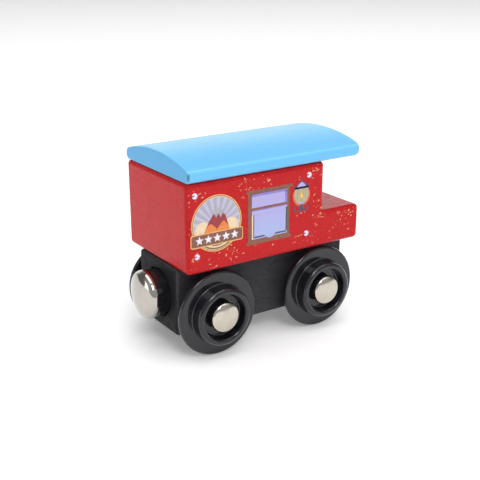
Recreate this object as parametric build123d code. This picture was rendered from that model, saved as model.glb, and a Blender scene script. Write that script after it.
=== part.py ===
from build123d import *
from math import atan2, cos, pi, sin
import os

# A wooden toy-railway caboose: painted wooden blocks, moulded wheels on fixed steel axles and a magnetic
# coupler at one end. Millimetres, +Z up, the wheels' flanges stand on Z = 0 and the origin is under the
# middle of the overall length. -X is the front (coupler) end, +X the rear end with its open platform.
# Left and right are as seen looking forward, so the left side is -Y.

# Body block: the cab and the rear platform are sawn from one piece of wood.
BODY_LENGTH = 49.0
BODY_WIDTH = 28.0
CAB_LENGTH = 37.8
BODY_BOTTOM_Z = 21.55
PLATFORM_TOP_Z = 30.3
CAB_TOP_Z = 42.6
BODY_EDGE_RADIUS = 1.1

# The coupler's domed face stands out in front of the body by this much, and the roof ends behind it.
COUPLER_REACH = 5.9
ROOF_START = 0.25
ROOF_END = 49.1
FRONT_X = (COUPLER_REACH - ROOF_END) / 2
REAR_X = FRONT_X + BODY_LENGTH

# Roof board: a low crown, well rounded along its sides and rear, with a crisp front end.
ROOF_WIDTH = 29.1
ROOF_SIDE_HEIGHT = 2.65
ROOF_CROWN_HEIGHT = 4.85
ROOF_EDGE_RADIUS = 1.2
ROOF_FRONT_EDGE_RADIUS = 0.3
ROOF_REAR_CORNER_RADIUS = 2.4

# Chassis block: a narrower black block under the body. It starts a little in front of the body.
CHASSIS_START = -0.1
CHASSIS_END = 48.2
CHASSIS_WIDTH = 17.6
CHASSIS_BOTTOM_Z = 5.0
CHASSIS_EDGE_RADIUS = 0.8

# Wheels and axles: the flange radius sets the axle height.
FLANGE_RADIUS = 10.3
FRONT_AXLE_X = FRONT_X + 8.7
REAR_AXLE_X = FRONT_X + 38.2
AXLE_RADIUS = 1.5
RUNNING_CLEARANCE = 0.08
END_FLOAT = 0.2
BOSS_RADIUS = 4.5
FLANGE_BACK_Y = 11.55
FLANGE_FACE_Y = 12.85
TREAD_BASE_RADIUS = 7.15
TREAD_RIM_RADIUS = 6.95
WHEEL_RIM_Y = 15.95
DISH_MOUTH_RADIUS = 5.5
DISH_FLOOR_RADIUS = 5.2
DISH_FLOOR_Y = 13.7
FLANGE_EDGE_RADIUS = 0.5
TREAD_EDGE_RADIUS = 0.6
DISH_LIP_RADIUS = 0.3

# Hub caps: a domed head on a short collar that is pressed over the axle's end.
CAP_RADIUS = 3.65
CAP_COLLAR_RADIUS = 2.4
CAP_UNDERSIDE_Y = 15.15
CAP_RIM_Y = 15.35
CAP_DOME_HEIGHT = 1.25
CAP_SHOULDER_RADIUS = 0.75
AXLE_END_Y = 15.3

# Coupler, from the body's front plane outwards: a moulded cup holds a disc magnet behind a domed cap.
COUPLER_Z = 13.4
SLEEVE_RADIUS = 5.7
SLEEVE_BORE_RADIUS = 4.6
SLEEVE_BACK = -0.3
SLEEVE_FLOOR = 0.7
SLEEVE_FRONT = 3.25
MAGNET_BACK = 1.6
MAGNET_FRONT = 2.95
COUPLER_CAP_RADIUS = 5.85
COUPLER_CAP_RIM = 3.45
COUPLER_SHOULDER_RADIUS = 1.5
COUPLER_SEAT_RADIUS = 6.0
COUPLER_SEAT_DEPTH = 0.8
PIN_RADIUS = 1.3
PIN_HEAD_RADIUS = 2.4
PIN_HEAD_BACK = 0.8
PIN_HEAD_FRONT = 1.4
PIN_DEPTH = 6.5

# Hidden fasteners: countersunk screws from below and wooden dowels under the roof.
SCREW_XS = {"front": FRONT_X + 16.5, "rear": FRONT_X + 30.4}
SCREW_RADIUS = 1.5
SCREW_HEAD_RADIUS = 3.0
SCREW_HEAD_HEIGHT = 1.8
SCREW_LENGTH = 22.7
SCREW_SLOT_LENGTH = 3.4
SCREW_SLOT_WIDTH = 0.8
SCREW_SLOT_DEPTH = 1.1
DOWEL_XS = {"front": FRONT_X + 9.0, "rear": FRONT_X + 29.0}
DOWEL_RADIUS = 2.5
DOWEL_IN_BODY = 5.0
DOWEL_IN_ROOF = 2.6

AXLE_XS = {"front": FRONT_AXLE_X, "rear": REAR_AXLE_X}
SIDES = {"left": -1, "right": 1}


def box_between(low, high):
    """A box from its lowest corner to its highest."""
    size = [b - a for a, b in zip(low, high)]
    return Pos(*low) * Box(*size, align=(Align.MIN, Align.MIN, Align.MIN))


def rod(radius, length):
    """A round rod standing on the XY plane."""
    return Cylinder(radius, length, align=(Align.CENTER, Align.CENTER, Align.MIN))


def rounded(profile, corners):
    """Round the profile's corners that lie nearest to the given points, each by its own radius."""
    for point, radius in corners:
        corner = profile.vertices().sort_by_distance(point)[0]
        profile = fillet(corner, radius)
    return profile


def make_body_block():
    """Cab and platform in one L-shaped block, every outer edge rounded over, drilled for its fasteners."""
    cab = box_between(
        (FRONT_X, -BODY_WIDTH / 2, BODY_BOTTOM_Z), (FRONT_X + CAB_LENGTH, BODY_WIDTH / 2, CAB_TOP_Z)
    )
    platform = box_between(
        (FRONT_X, -BODY_WIDTH / 2, BODY_BOTTOM_Z), (REAR_X, BODY_WIDTH / 2, PLATFORM_TOP_Z)
    )
    block = cab + platform
    inner_corner = (FRONT_X + CAB_LENGTH, 0, PLATFORM_TOP_Z)
    outer_edges = block.edges().sort_by_distance(inner_corner)[1:]
    block = fillet(outer_edges, BODY_EDGE_RADIUS)
    for x in SCREW_XS.values():
        block -= Pos(x, 0, CHASSIS_BOTTOM_Z) * rod(SCREW_RADIUS, SCREW_LENGTH)
    for x in DOWEL_XS.values():
        block -= Pos(x, 0, CAB_TOP_Z - DOWEL_IN_BODY) * rod(DOWEL_RADIUS, DOWEL_IN_BODY)
    return block


def make_roof_board():
    """Board with a low crown, rounded over along its sides and rear, its front end left crisp."""
    half = ROOF_WIDTH / 2
    upper_left = (-half, ROOF_SIDE_HEIGHT)
    upper_right = (half, ROOF_SIDE_HEIGHT)
    outline = Polyline(upper_left, (-half, 0), (half, 0), upper_right)
    crown = ThreePointArc(upper_left, (0, ROOF_CROWN_HEIGHT), upper_right)
    front_end = Plane(origin=(FRONT_X + ROOF_START, 0, CAB_TOP_Z), x_dir=(0, 1, 0), z_dir=(1, 0, 0))
    board = extrude(front_end * make_face(outline + crown), ROOF_END - ROOF_START)
    rear_face = board.faces().sort_by(Axis.X)[-1]
    board = fillet(rear_face.edges().filter_by(Axis.Z), ROOF_REAR_CORNER_RADIUS)
    front_face = board.faces().sort_by(Axis.X)[0]
    long_and_rear = [edge for edge in board.edges() if edge.center().X > front_face.center().X + 0.1]
    long_and_rear = ShapeList(long_and_rear).filter_by(Axis.Z, reverse=True)
    board = fillet(long_and_rear, ROOF_EDGE_RADIUS)
    front_face = board.faces().sort_by(Axis.X)[0]
    board = fillet(front_face.edges(), ROOF_FRONT_EDGE_RADIUS)
    for x in DOWEL_XS.values():
        board -= Pos(x, 0, CAB_TOP_Z) * rod(DOWEL_RADIUS, DOWEL_IN_ROOF)
    return board


def make_chassis_block():
    """Black block with cross holes for the axles, countersunk screw holes and the coupler's seat."""
    block = box_between(
        (FRONT_X + CHASSIS_START, -CHASSIS_WIDTH / 2, CHASSIS_BOTTOM_Z),
        (FRONT_X + CHASSIS_END, CHASSIS_WIDTH / 2, BODY_BOTTOM_Z),
    )
    block = fillet(block.edges(), CHASSIS_EDGE_RADIUS)
    for x in AXLE_XS.values():
        block -= Pos(x, 0, FLANGE_RADIUS) * Rot(90, 0, 0) * Cylinder(AXLE_RADIUS, CHASSIS_WIDTH)
    for x in SCREW_XS.values():
        block -= Pos(x, 0, CHASSIS_BOTTOM_Z) * screw_blank(SCREW_LENGTH)
    seat = rod(COUPLER_SEAT_RADIUS, COUPLER_SEAT_DEPTH) + rod(PIN_RADIUS, PIN_DEPTH - CHASSIS_START)
    return block - Pos(FRONT_X + CHASSIS_START, 0, COUPLER_Z) * Rot(0, 90, 0) * seat


def screw_blank(length):
    """A countersunk screw without its slots: its head lies on the XY plane and it points up."""
    upright = (Align.CENTER, Align.CENTER, Align.MIN)
    head = Cone(SCREW_HEAD_RADIUS, SCREW_RADIUS, SCREW_HEAD_HEIGHT, align=upright)
    return head + rod(SCREW_RADIUS, length)


def make_chassis_screw(x):
    """Countersunk cross-head screw from below, flush with the chassis block's underside."""
    screw = screw_blank(SCREW_LENGTH)
    slot = Box(SCREW_SLOT_LENGTH, SCREW_SLOT_WIDTH, 2 * SCREW_SLOT_DEPTH)
    screw = screw - slot - Rot(0, 0, 90) * slot
    return Pos(x, 0, CHASSIS_BOTTOM_Z) * screw


def make_roof_dowel(x):
    """Plain wooden dowel, half in the body block and half in the roof board."""
    return Pos(x, 0, CAB_TOP_Z - DOWEL_IN_BODY) * rod(DOWEL_RADIUS, DOWEL_IN_BODY + DOWEL_IN_ROOF)


def make_axle(x):
    """Steel axle pressed through the chassis block, its ends inside the hub caps."""
    return Pos(x, 0, FLANGE_RADIUS) * Rot(90, 0, 0) * Cylinder(AXLE_RADIUS, 2 * AXLE_END_Y)


def turned_about_axle(section, x, side):
    """Spin a section, drawn as radius across and distance from the middle plane up, about an axle."""
    part = revolve(section, Axis.Y)
    if side < 0:
        part = mirror(part, Plane.XZ)
    return Pos(x, 0, FLANGE_RADIUS) * part


def make_wheel(x, side):
    """Moulded wheel: inner boss, thin flange, slightly tapered tread hub and a dished outer face."""
    bore = AXLE_RADIUS + RUNNING_CLEARANCE
    boss_y = CHASSIS_WIDTH / 2 + END_FLOAT
    section = make_face(
        Polyline(
            (bore, boss_y),
            (BOSS_RADIUS, boss_y),
            (BOSS_RADIUS, FLANGE_BACK_Y),
            (FLANGE_RADIUS, FLANGE_BACK_Y),
            (FLANGE_RADIUS, FLANGE_FACE_Y),
            (TREAD_BASE_RADIUS, FLANGE_FACE_Y),
            (TREAD_RIM_RADIUS, WHEEL_RIM_Y),
            (DISH_MOUTH_RADIUS, WHEEL_RIM_Y),
            (DISH_FLOOR_RADIUS, DISH_FLOOR_Y),
            (bore, DISH_FLOOR_Y),
            close=True,
        )
    )
    section = rounded(
        section,
        [
            ((FLANGE_RADIUS, FLANGE_BACK_Y), FLANGE_EDGE_RADIUS),
            ((FLANGE_RADIUS, FLANGE_FACE_Y), FLANGE_EDGE_RADIUS),
            ((TREAD_BASE_RADIUS, FLANGE_FACE_Y), DISH_LIP_RADIUS),
            ((TREAD_RIM_RADIUS, WHEEL_RIM_Y), TREAD_EDGE_RADIUS),
            ((DISH_MOUTH_RADIUS, WHEEL_RIM_Y), DISH_LIP_RADIUS),
            ((DISH_FLOOR_RADIUS, DISH_FLOOR_Y), DISH_LIP_RADIUS),
        ],
    )
    return turned_about_axle(section, x, side)


def make_hub_cap(x, side):
    """Domed plated cap with a blind collar pressed over the axle's end."""
    collar_y = DISH_FLOOR_Y + END_FLOAT
    rim = (CAP_RADIUS, CAP_RIM_Y)
    top = (0, CAP_RIM_Y + CAP_DOME_HEIGHT)
    outline = Polyline(
        top,
        (0, AXLE_END_Y),
        (AXLE_RADIUS, AXLE_END_Y),
        (AXLE_RADIUS, collar_y),
        (CAP_COLLAR_RADIUS, collar_y),
        (CAP_COLLAR_RADIUS, CAP_UNDERSIDE_Y),
        (CAP_RADIUS, CAP_UNDERSIDE_Y),
        rim,
    )
    return turned_about_axle(make_face(outline + dome_arc(top, rim, CAP_SHOULDER_RADIUS)), x, side)


def dome_arc(top, rim, shoulder):
    """Outline of a pressed dome: a shallow crown from its top on the axis, then a rounded shoulder."""
    rise = top[1] - rim[1]
    inset = rim[0] - shoulder
    crown = (inset**2 + rise**2 - shoulder**2) / (2 * (rise - shoulder))
    lean = atan2(inset, crown - rise)

    def on_crown(angle):
        return crown * sin(angle), top[1] - crown * (1 - cos(angle))

    def on_shoulder(angle):
        return inset + shoulder * sin(angle), rim[1] + shoulder * cos(angle)

    crown_arc = ThreePointArc(top, on_crown(lean / 2), on_crown(lean))
    return crown_arc + ThreePointArc(on_crown(lean), on_shoulder((lean + pi / 2) / 2), rim)


def turned_about_coupler(section):
    """Spin a section, drawn as radius across and distance in front of the body up, about the coupler."""
    part = revolve(section, Axis.Y)
    return Pos(FRONT_X, 0, COUPLER_Z) * Rot(0, 0, 90) * part


def make_coupler_sleeve():
    """Moulded cup: its floor turns on the pin and its open front holds the magnet."""
    bore = PIN_RADIUS + RUNNING_CLEARANCE
    section = make_face(
        Polyline(
            (bore, SLEEVE_BACK),
            (SLEEVE_RADIUS, SLEEVE_BACK),
            (SLEEVE_RADIUS, SLEEVE_FRONT),
            (SLEEVE_BORE_RADIUS, SLEEVE_FRONT),
            (SLEEVE_BORE_RADIUS, SLEEVE_FLOOR),
            (bore, SLEEVE_FLOOR),
            close=True,
        )
    )
    return turned_about_coupler(section)


def make_coupler_magnet():
    """Disc magnet pressed into the sleeve."""
    thickness = MAGNET_FRONT - MAGNET_BACK
    middle = (MAGNET_BACK + MAGNET_FRONT) / 2
    section = Pos(SLEEVE_BORE_RADIUS / 2, middle) * Rectangle(SLEEVE_BORE_RADIUS, thickness)
    return turned_about_coupler(section)


def make_coupler_cap():
    """Domed plated cap on the magnet, located by a short spigot in the sleeve's mouth."""
    rim = (COUPLER_CAP_RADIUS, COUPLER_CAP_RIM)
    top = (0, COUPLER_REACH)
    outline = Polyline(
        top,
        (0, MAGNET_FRONT),
        (SLEEVE_BORE_RADIUS, MAGNET_FRONT),
        (SLEEVE_BORE_RADIUS, SLEEVE_FRONT),
        (COUPLER_CAP_RADIUS, SLEEVE_FRONT),
        rim,
    )
    return turned_about_coupler(make_face(outline + dome_arc(top, rim, COUPLER_SHOULDER_RADIUS)))


def make_coupler_pin():
    """Flat-headed nail through the sleeve's floor, driven into the chassis block."""
    section = make_face(
        Polyline(
            (0, -PIN_DEPTH),
            (PIN_RADIUS, -PIN_DEPTH),
            (PIN_RADIUS, PIN_HEAD_BACK),
            (PIN_HEAD_RADIUS, PIN_HEAD_BACK),
            (PIN_HEAD_RADIUS, PIN_HEAD_FRONT),
            (0, PIN_HEAD_FRONT),
            close=True,
        )
    )
    return turned_about_coupler(section)


parts = {
    "body_block": make_body_block(),
    "roof_board": make_roof_board(),
    "chassis_block": make_chassis_block(),
    "coupler_pin": make_coupler_pin(),
    "coupler_sleeve": make_coupler_sleeve(),
    "coupler_magnet": make_coupler_magnet(),
    "coupler_cap": make_coupler_cap(),
}
for end, axle_x in AXLE_XS.items():
    parts[f"{end}_axle"] = make_axle(axle_x)
    parts[f"{end}_chassis_screw"] = make_chassis_screw(SCREW_XS[end])
    parts[f"{end}_roof_dowel"] = make_roof_dowel(DOWEL_XS[end])
    for side_name, side in SIDES.items():
        parts[f"{end}_{side_name}_wheel"] = make_wheel(axle_x, side)
        parts[f"{end}_{side_name}_hub_cap"] = make_hub_cap(axle_x, side)

os.makedirs("parts", exist_ok=True)
for name, part in parts.items():
    export_step(part, f"parts/{name}.step")
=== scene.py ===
from math import asin, atan2, cos, pi, radians, sin

import bmesh
import bpy
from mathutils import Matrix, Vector


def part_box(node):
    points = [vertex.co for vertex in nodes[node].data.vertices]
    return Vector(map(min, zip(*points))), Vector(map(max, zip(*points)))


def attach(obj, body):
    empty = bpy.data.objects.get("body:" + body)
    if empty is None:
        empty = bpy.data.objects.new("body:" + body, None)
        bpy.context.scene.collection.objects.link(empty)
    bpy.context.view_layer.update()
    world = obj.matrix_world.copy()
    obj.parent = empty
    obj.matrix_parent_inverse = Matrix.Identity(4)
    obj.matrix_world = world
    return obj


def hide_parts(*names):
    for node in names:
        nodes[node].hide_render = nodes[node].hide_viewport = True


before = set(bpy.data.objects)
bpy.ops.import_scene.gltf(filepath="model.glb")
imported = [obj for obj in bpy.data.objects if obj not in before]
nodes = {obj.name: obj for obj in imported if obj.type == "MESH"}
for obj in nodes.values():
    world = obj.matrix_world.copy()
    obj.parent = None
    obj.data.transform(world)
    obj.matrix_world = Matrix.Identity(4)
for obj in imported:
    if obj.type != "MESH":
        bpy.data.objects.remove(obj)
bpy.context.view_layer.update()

# ---------------- body block
# The cab and the open rear platform are one sawn block of beech, sanded round on every outer edge and
# finished in glossy red enamel. A worn gold fleck is printed over both long sides. A darker red is painted
# in a broken band along the edges: painted shade.
MM = 0.001
body_low, body_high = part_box("body_block")
cab_length, platform_thickness = 37.8 * MM, 8.75 * MM
cab_wall_x = body_low.x + cab_length
platform_top_z = body_low.z + platform_thickness
body_edge_radius = 1.1 * MM
sharp_angle = radians(30)


def use(piece):
    """Make a piece the only selected one."""
    bpy.ops.object.select_all(action="DESELECT")
    piece.select_set(True)
    bpy.context.view_layer.objects.active = piece


def edit(piece):
    """Open a piece in edit mode with nothing selected."""
    use(piece)
    bpy.ops.object.mode_set(mode="EDIT")
    bpy.ops.mesh.select_mode(type="VERT")
    bpy.ops.mesh.select_all(action="DESELECT")


def leave_edit():
    bpy.ops.object.mode_set(mode="OBJECT")


def pick(kind, test):
    """In edit mode, select only the verts, edges or faces that pass the test."""
    bpy.ops.mesh.select_mode(type={"verts": "VERT", "edges": "EDGE", "faces": "FACE"}[kind])
    bpy.ops.mesh.select_all(action="DESELECT")
    mesh = bmesh.from_edit_mesh(bpy.context.object.data)
    for element in getattr(mesh, kind):
        if test(element):
            element.select_set(True)
    mesh.select_flush_mode()
    bmesh.update_edit_mesh(bpy.context.object.data)


def middle(element):
    """The middle of an edge."""
    return (element.verts[0].co + element.verts[1].co) / 2


def settle(piece):
    """Put a piece's place, turn and size into its mesh."""
    use(piece)
    bpy.ops.object.transform_apply(location=True, rotation=True, scale=True)
    return piece


def block(name, low, high):
    """A sawn block between two corners."""
    bpy.ops.object.select_all(action="DESELECT")
    low, high = Vector(low), Vector(high)
    bpy.ops.mesh.primitive_cube_add(size=1, location=(low + high) / 2, scale=high - low)
    piece = bpy.context.object
    piece.name = name
    return settle(piece)


def smooth(piece):
    """Smooth shading that keeps the flat faces flat."""
    use(piece)
    bpy.ops.object.shade_smooth_by_angle(angle=sharp_angle)
    piece.modifiers.new("weighted normals", "WEIGHTED_NORMAL").keep_sharp = True
    bpy.ops.object.modifier_apply(modifier="weighted normals")
    return piece


def finish_piece(piece, body, slot, *stands_for):
    """Hang a finished piece on its body and hide the plain parts that it stands for. The slot is not used."""
    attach(piece, body)
    if stands_for:
        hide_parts(*stands_for)


def node(tree, kind, inputs=None, **settings):
    """Add a shader node. Each input is a plain value or the output it is wired from."""
    made = tree.nodes.new(kind)
    for setting, value in settings.items():
        setattr(made, setting, value)
    for key, source in (inputs or {}).items():
        if isinstance(source, bpy.types.NodeSocket):
            tree.links.new(source, made.inputs[key])
        else:
            made.inputs[key].default_value = source
    return made


def maths(tree, operation, *values):
    """Arithmetic on plain values."""
    return node(tree, "ShaderNodeMath", dict(enumerate(values)), operation=operation).outputs[0]


def vectors(tree, operation, *values, output="Vector"):
    """Arithmetic on vectors. A length, a distance or a dot product comes from the Value output."""
    return node(tree, "ShaderNodeVectorMath", dict(enumerate(values)), operation=operation).outputs[output]


def split(tree, vector):
    """The X, Y and Z of a vector."""
    return node(tree, "ShaderNodeSeparateXYZ", {0: vector}).outputs


def facing(tree, axis):
    """How squarely the surface faces along an axis, either way, from 0 to 1."""
    normal = node(tree, "ShaderNodeNewGeometry").outputs["Normal"]
    return maths(tree, "ABSOLUTE", split(tree, normal)[axis])


def ramp(tree, value, low, high, to_low=0.0, to_high=1.0):
    """Smooth step of a value from one range to another."""
    inputs = {"Value": value, "From Min": low, "From Max": high, "To Min": to_low, "To Max": to_high}
    made = node(tree, "ShaderNodeMapRange", inputs, interpolation_type="SMOOTHSTEP")
    return made.outputs["Result"]


def mix(tree, amount, first, second):
    """Mix two colours."""
    made = node(tree, "ShaderNodeMix", data_type="RGBA")
    for key, source in (("Factor", amount), ("A", first), ("B", second)):
        socket = [s for s in made.inputs if s.name == key and s.enabled][0]
        if isinstance(source, bpy.types.NodeSocket):
            tree.links.new(source, socket)
        else:
            socket.default_value = source
    return [s for s in made.outputs if s.enabled][0]


def noise(tree, place, scale, detail=3.0, roughness=0.5):
    """Cloudy noise, from 0 to 1."""
    inputs = {"Vector": place, "Scale": scale, "Detail": detail, "Roughness": roughness}
    return node(tree, "ShaderNodeTexNoise", inputs).outputs["Fac"]


def stretch(tree, place, x, y, z):
    """Scale a place along each axis, which draws a pattern finer or longer."""
    return node(tree, "ShaderNodeMapping", {"Vector": place, "Scale": (x, y, z)}).outputs[0]


def in_millimetres(tree):
    """Object coordinates in millimetres, so that pattern scales are counts per millimetre."""
    place = node(tree, "ShaderNodeTexCoord").outputs["Object"]
    return stretch(tree, place, 1 / MM, 1 / MM, 1 / MM)


def group(name, inputs, outputs):
    """A node group with named sockets. Returns its tree and its input and output nodes."""
    tree = bpy.data.node_groups.new(name, "ShaderNodeTree")
    for label, kind, value in inputs:
        socket = tree.interface.new_socket(label, in_out="INPUT", socket_type=kind)
        socket.default_value = value
    for label, kind in outputs:
        tree.interface.new_socket(label, in_out="OUTPUT", socket_type=kind)
    return tree, tree.nodes.new("NodeGroupInput").outputs, tree.nodes.new("NodeGroupOutput").inputs


def grouped(tree, effect, inputs):
    """Place a node group in a material with its own values, and give its outputs."""
    return node(tree, "ShaderNodeGroup", inputs, node_tree=effect).outputs


def material(name, sockets):
    """A material with a Principled shader whose plain sockets are set here."""
    made = bpy.data.materials.new(name)
    made.use_nodes = True
    shader = made.node_tree.nodes["Principled BSDF"]
    for socket, value in sockets.items():
        shader.inputs[socket].default_value = value
    return made, made.node_tree, shader


def wire(tree, shader, colour=None, roughness=None, height=None, depth=0.05):
    """Wire the varying values into a shader. The bump depth is in millimetres."""
    if colour is not None:
        tree.links.new(colour, shader.inputs["Base Color"])
    if roughness is not None:
        tree.links.new(roughness, shader.inputs["Roughness"])
    if height is not None:
        bump = node(tree, "ShaderNodeBump", {"Height": height, "Strength": 1.0, "Distance": depth * MM})
        tree.links.new(bump.outputs[0], shader.inputs["Normal"])


# Grain of beech running along X: long fibres on the sides, pores on the sawn ends.
VECTOR, FLOAT, COLOUR = "NodeSocketVector", "NodeSocketFloat", "NodeSocketColor"
wood_grain, given, result = group(
    "wood grain",
    [("Place", VECTOR, (0, 0, 0)), ("Fineness", FLOAT, 1.0)],
    [("Fibres", FLOAT), ("Pores", FLOAT)],
)
wavering = noise(wood_grain, stretch(wood_grain, given["Place"], 0.05, 0.3, 0.3), 1.0, 2.0)
along = stretch(wood_grain, given["Place"], 0.06, 1.0, 1.0)
shifted = vectors(wood_grain, "ADD", along, wavering)
fibre_scale = maths(wood_grain, "MULTIPLY", given["Fineness"], 2.4)
wood_grain.links.new(noise(wood_grain, shifted, fibre_scale, 6.0, 0.62), result["Fibres"])
pore_scale = maths(wood_grain, "MULTIPLY", given["Fineness"], 5.0)
pore = node(wood_grain, "ShaderNodeTexVoronoi", {"Vector": along, "Scale": pore_scale}).outputs["Distance"]
wood_grain.links.new(ramp(wood_grain, pore, 0.08, 0.3, 1.0, 0.0), result["Pores"])

# Handling: faint smudges that change the gloss, and a slow unevenness of the coat.
handling, given, result = group(
    "handling",
    [("Place", VECTOR, (0, 0, 0)), ("Scale", FLOAT, 1.0)],
    [("Smudges", FLOAT), ("Waves", FLOAT)],
)
smudge_scale = maths(handling, "MULTIPLY", given["Scale"], 0.35)
smudges = noise(handling, given["Place"], smudge_scale, 5.0, 0.6)
handling.links.new(ramp(handling, smudges, 0.38, 0.68), result["Smudges"])
wave_scale = maths(handling, "MULTIPLY", given["Scale"], 0.8)
handling.links.new(noise(handling, given["Place"], wave_scale, 2.0, 0.4), result["Waves"])

# Distance to the nearest edge of an upright block, and a broken band along it: rubbed stain on the chassis,
# painted shade on the red body.
edge_wear_and_shade, given, result = group(
    "edge wear and shade",
    [("Place", VECTOR, (0, 0, 0)), ("Low", VECTOR, (0, 0, 0)), ("High", VECTOR, (0, 0, 0)),
     ("Width", FLOAT, 0.6)],
    [("Wear and shade", FLOAT)],
)
from_low = vectors(edge_wear_and_shade, "SUBTRACT", given["Place"], given["Low"])
from_high = vectors(edge_wear_and_shade, "SUBTRACT", given["High"], given["Place"])
x, y, z = split(edge_wear_and_shade, vectors(edge_wear_and_shade, "MINIMUM", from_low, from_high))
smaller = maths(edge_wear_and_shade, "MINIMUM", x, y)
larger = maths(edge_wear_and_shade, "MAXIMUM", x, y)
to_edge = maths(edge_wear_and_shade, "MAXIMUM", smaller, maths(edge_wear_and_shade, "MINIMUM", larger, z))
closeness = ramp(edge_wear_and_shade, maths(edge_wear_and_shade, "DIVIDE", to_edge, given["Width"]), 0.2, 1.0, 1.0, 0.0)
breaks = noise(edge_wear_and_shade, given["Place"], 0.9, 6.0, 0.65)
worn_and_shaded = maths(edge_wear_and_shade, "MULTIPLY", closeness, ramp(edge_wear_and_shade, breaks, 0.35, 0.7))
edge_wear_and_shade.links.new(worn_and_shaded, result["Wear and shade"])

# Gold fleck: torn flakes and scrapes, gathered round middles given as (x, z, reach, crowding), where x is
# counted from the body's front and z from the track.
fleck_middles = [
    (3.0, 40.5, 2.8, 0.6), (15.0, 40.6, 4.2, 0.95), (20.5, 39.2, 3.6, 0.8), (35.5, 40.8, 3.4, 0.95),
    (35.8, 34.0, 3.4, 0.55), (31.0, 31.5, 3.0, 0.5), (36.5, 29.5, 3.4, 0.8), (34.0, 24.8, 3.2, 0.8),
    (30.5, 25.5, 2.8, 0.7), (43.5, 27.6, 3.8, 1.1), (40.0, 24.5, 2.2, 0.5), (46.5, 29.0, 2.2, 0.8),
    (1.2, 32.5, 3.0, 0.8), (11.5, 25.0, 3.2, 0.7), (6.0, 24.0, 2.6, 0.5), (1.2, 24.5, 2.4, 0.7),
]
flakes_per_mm, flake_tear, stray_flakes = 1.5, 1.5, 0.055
smallest_flake, flake_spread, flake_blur = 0.08, 0.31, 0.05


def fleck_mask(tree, place):
    """Where the gold fleck lies, and how its tone varies."""
    torn = node(tree, "ShaderNodeTexNoise", {"Vector": place, "Scale": 1.7, "Detail": 4.0}).outputs["Color"]
    offset = vectors(tree, "SUBTRACT", torn, (0.5, 0.5, 0.5))
    warp = node(tree, "ShaderNodeVectorMath", {0: offset, "Scale": flake_tear}, operation="SCALE").outputs[0]
    warped = vectors(tree, "ADD", place, warp)
    leaning = {"Vector": warped, "Rotation": (0, 0.6, 0), "Scale": (1, 1, 1.5)}
    leaning = node(tree, "ShaderNodeMapping", leaning).outputs[0]
    cells = node(tree, "ShaderNodeTexVoronoi", {"Vector": leaning, "Scale": flakes_per_mm}).outputs
    chance, size, tone = node(tree, "ShaderNodeSeparateColor", {0: cells["Color"]}).outputs
    flat = vectors(tree, "MULTIPLY", place, (1, 0, 1))
    crowd = stray_flakes
    for from_front, height, reach, crowding in fleck_middles:
        centre = (body_low.x / MM + from_front, 0, height)
        distance = vectors(tree, "DISTANCE", flat, centre, output="Value")
        crowd = maths(tree, "ADD", crowd, ramp(tree, distance, 0.0, reach, crowding, 0.0))
    present = maths(tree, "LESS_THAN", chance, crowd)
    radius = maths(tree, "MULTIPLY_ADD", size, flake_spread, smallest_flake)
    past_rim = maths(tree, "SUBTRACT", cells["Distance"], radius)
    inside = ramp(tree, past_rim, -flake_blur, flake_blur, 1.0, 0.0)
    on_side = ramp(tree, facing(tree, "Y"), 0.7, 0.95)
    mask = maths(tree, "MULTIPLY", maths(tree, "MULTIPLY", present, inside), on_side)
    return mask, tone


red_thin, red_full, red_fibre = (0.65, 0.019, 0.022, 1), (0.55, 0.015, 0.018, 1), (0.42, 0.006, 0.009, 1)
red_speck, red_edge_shade = (0.38, 0.004, 0.006, 1), (0.34, 0.002, 0.004, 1)
dull_gold, bright_gold = (0.74, 0.26, 0.07, 1), (0.95, 0.66, 0.36, 1)
red_enamel, tree, shader = material(
    "red enamel", {"IOR": 1.45, "Coat Weight": 0.03, "Coat Roughness": 0.1, "Specular IOR Level": 0.16}
)
place = in_millimetres(tree)
grain = grouped(tree, wood_grain, {"Place": place, "Fineness": 1.0})
touched = grouped(tree, handling, {"Place": place, "Scale": 1.0})
edge_marks = grouped(tree, edge_wear_and_shade, {"Place": place, "Low": body_low / MM, "High": body_high / MM, "Width": 1.6})
flecks, fleck_tone = fleck_mask(tree, place)
colour = mix(tree, touched["Waves"], red_full, red_thin)
colour = mix(tree, maths(tree, "MULTIPLY", grain["Fibres"], 0.5), colour, red_fibre)
speckle = ramp(tree, noise(tree, place, 2.2, 3.0, 0.6), 0.42, 0.62, 0.0, 0.3)
colour = mix(tree, speckle, colour, red_speck)
# A darker red along the rounded edges: painted shade.
colour = mix(tree, maths(tree, "MULTIPLY", edge_marks["Wear and shade"], 0.6), colour, red_edge_shade)
gold = mix(tree, fleck_tone, dull_gold, bright_gold)
colour = mix(tree, maths(tree, "MULTIPLY", flecks, 0.9), colour, gold)
gloss = ramp(tree, touched["Smudges"], 0.0, 1.0, 0.2, 0.3)
height = maths(tree, "ADD", maths(tree, "MULTIPLY", grain["Fibres"], 0.6), touched["Waves"])
height = maths(tree, "SUBTRACT", height, maths(tree, "MULTIPLY", speckle, 0.5))
wire(tree, shader, colour, gloss, height, 0.06)

body_block = block("painted_body", body_low, (body_high.x, body_high.y, platform_top_z))
edit(body_block)
bpy.ops.mesh.select_all(action="SELECT")
bpy.ops.mesh.bisect(plane_co=(cab_wall_x, 0, 0), plane_no=(1, 0, 0))
pick("faces", lambda face: face.normal.z > 0.9 and face.calc_center_median().x < cab_wall_x)
bpy.ops.mesh.extrude_region_move(TRANSFORM_OT_translate={"value": (0, 0, body_high.z - platform_top_z)})
inner_corner = Vector((cab_wall_x, 0, platform_top_z))


def is_outer_edge(edge):
    """A sharp edge, other than the inner corner between the cab wall and the platform."""
    return edge.calc_face_angle(0) > sharp_angle and (middle(edge) - inner_corner).length > 0.1 * MM


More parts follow.
